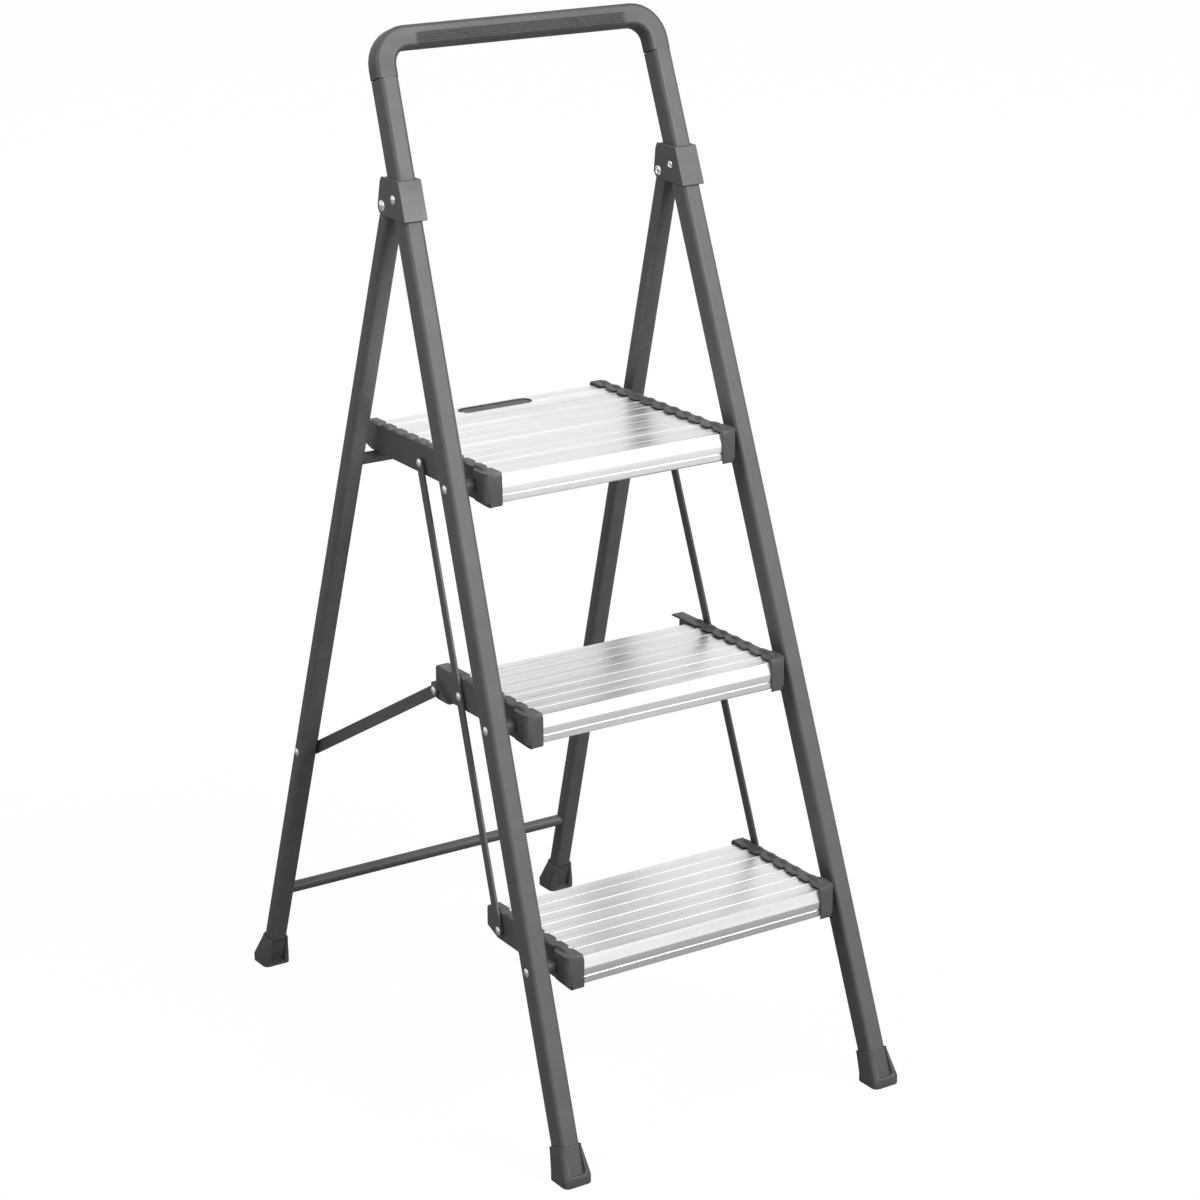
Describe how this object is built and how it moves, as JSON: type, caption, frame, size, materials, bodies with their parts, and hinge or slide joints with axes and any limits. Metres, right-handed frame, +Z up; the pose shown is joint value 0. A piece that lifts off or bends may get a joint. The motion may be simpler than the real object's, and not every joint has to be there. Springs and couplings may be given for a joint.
{
  "type": "folding step stool",
  "caption": "Folding three-step stool: tapered grey tube frames, ridged aluminium treads in plastic end caps, link bars, struts and a raised hand rail.",
  "frame": {"origin": "on the floor, midway between the four feet, with the stool open", "axes": "X across the width, the user stands at -Y and climbs towards +Y, +Z up"},
  "size_m": [0.426, 0.6648, 1.1089],
  "materials": {
    "grey_paint": "satin powder coat",
    "grey_plastic": "fine moulded texture",
    "foot_plastic": "matte",
    "aluminium": "brushed extrusion",
    "zinc": "bright plated"
  },
  "bodies": {
    "front_frame": {"front_leg_left": "grey_paint", "front_foot_left": "foot_plastic", "hinge_bracket_left": "grey_plastic", "hinge_rivet_left": "zinc", "collar_rivet_left": "zinc", "bottom_spacer_left": "grey_plastic", "bottom_step_rivet_left": "zinc", "middle_spacer_left": "grey_plastic", "middle_step_rivet_left": "zinc", "top_spacer_left": "grey_plastic", "top_step_rivet_left": "zinc", "front_leg_right": "grey_paint", "front_foot_right": "foot_plastic", "hinge_bracket_right": "grey_plastic", "hinge_rivet_right": "zinc", "collar_rivet_right": "zinc", "bottom_spacer_right": "grey_plastic", "bottom_step_rivet_right": "zinc", "middle_spacer_right": "grey_plastic", "middle_step_rivet_right": "zinc", "top_spacer_right": "grey_plastic", "top_step_rivet_right": "zinc", "hand_rail": "grey_plastic"},
    "bottom_step": {"bottom_cap_left": "grey_plastic", "bottom_link_rivet_left": "zinc", "bottom_cap_right": "grey_plastic", "bottom_link_rivet_right": "zinc", "bottom_tread": "aluminium"},
    "middle_step": {"middle_cap_left": "grey_plastic", "middle_link_rivet_left": "zinc", "strut_rivet_left": "zinc", "middle_cap_right": "grey_plastic", "middle_link_rivet_right": "zinc", "strut_rivet_right": "zinc", "middle_tread": "aluminium"},
    "top_step": {"top_cap_left": "grey_plastic", "top_link_rivet_left": "zinc", "top_cap_right": "grey_plastic", "top_link_rivet_right": "zinc", "top_tread": "aluminium", "finger_slot_trim": "grey_plastic"},
    "rear_frame": {"rear_leg_left": "grey_paint", "rear_foot_left": "foot_plastic", "strut_foot_rivet_left": "zinc", "rear_leg_right": "grey_paint", "rear_foot_right": "foot_plastic", "strut_foot_rivet_right": "zinc", "lower_crossbar": "grey_paint", "upper_crossbar": "grey_paint"},
    "link_left": {"link_bar_left": "grey_paint"},
    "strut_left_arm": {"strut_left": "grey_paint", "strut_tail_left": "zinc"},
    "link_right": {"link_bar_right": "grey_paint"},
    "strut_right_arm": {"strut_right": "grey_paint", "strut_tail_right": "zinc"}
  },
  "joints": [
    {"name": "rear_frame_fold", "type": "hinge", "parent": "front_frame", "child": "rear_frame", "pos_m": [0, 0.04801, 0.93292], "axis": [-1, 0, 0], "range_deg": [0, 33]},
    {"name": "bottom_step_fold", "type": "hinge", "parent": "front_frame", "child": "bottom_step", "pos_m": [0, -0.24349, 0.2014], "axis": [1, 0, 0], "range_deg": [0, 62.3]},
    {"name": "middle_step_fold", "type": "hinge", "parent": "front_frame", "child": "middle_step", "pos_m": [0, -0.15969, 0.4329], "axis": [1, 0, 0], "range_deg": [0, 62.3]},
    {"name": "top_step_fold", "type": "hinge", "parent": "front_frame", "child": "top_step", "pos_m": [0, -0.07589, 0.6644], "axis": [1, 0, 0], "range_deg": [0, 62.3]},
    {"name": "link_left_swing", "type": "hinge", "parent": "top_step", "child": "link_left", "pos_m": [0, 0.03111, 0.6619], "axis": [-1, 0, 0], "range_deg": [0, 62.3]},
    {"name": "strut_left_swing", "type": "hinge", "parent": "middle_step", "child": "strut_left_arm", "pos_m": [0, -0.00989, 0.4251], "axis": [-1, 0, 0], "range_deg": [0, 135.9]},
    {"name": "link_right_swing", "type": "hinge", "parent": "top_step", "child": "link_right", "pos_m": [0, 0.03111, 0.6619], "axis": [-1, 0, 0], "range_deg": [0, 62.3]},
    {"name": "strut_right_swing", "type": "hinge", "parent": "middle_step", "child": "strut_right_arm", "pos_m": [0, -0.00989, 0.4251], "axis": [-1, 0, 0], "range_deg": [0, 135.9]}
  ],
  "couplings": [
    {"joint": "bottom_step_fold", "follows": "rear_frame_fold", "ratio": 1.8877},
    {"joint": "middle_step_fold", "follows": "rear_frame_fold", "ratio": 1.8877},
    {"joint": "top_step_fold", "follows": "rear_frame_fold", "ratio": 1.8877},
    {"joint": "link_left_swing", "follows": "rear_frame_fold", "ratio": 1.8877},
    {"joint": "strut_left_swing", "follows": "rear_frame_fold", "ratio": 4.1175},
    {"joint": "link_right_swing", "follows": "rear_frame_fold", "ratio": 1.8877},
    {"joint": "strut_right_swing", "follows": "rear_frame_fold", "ratio": 4.1175}
  ]
}
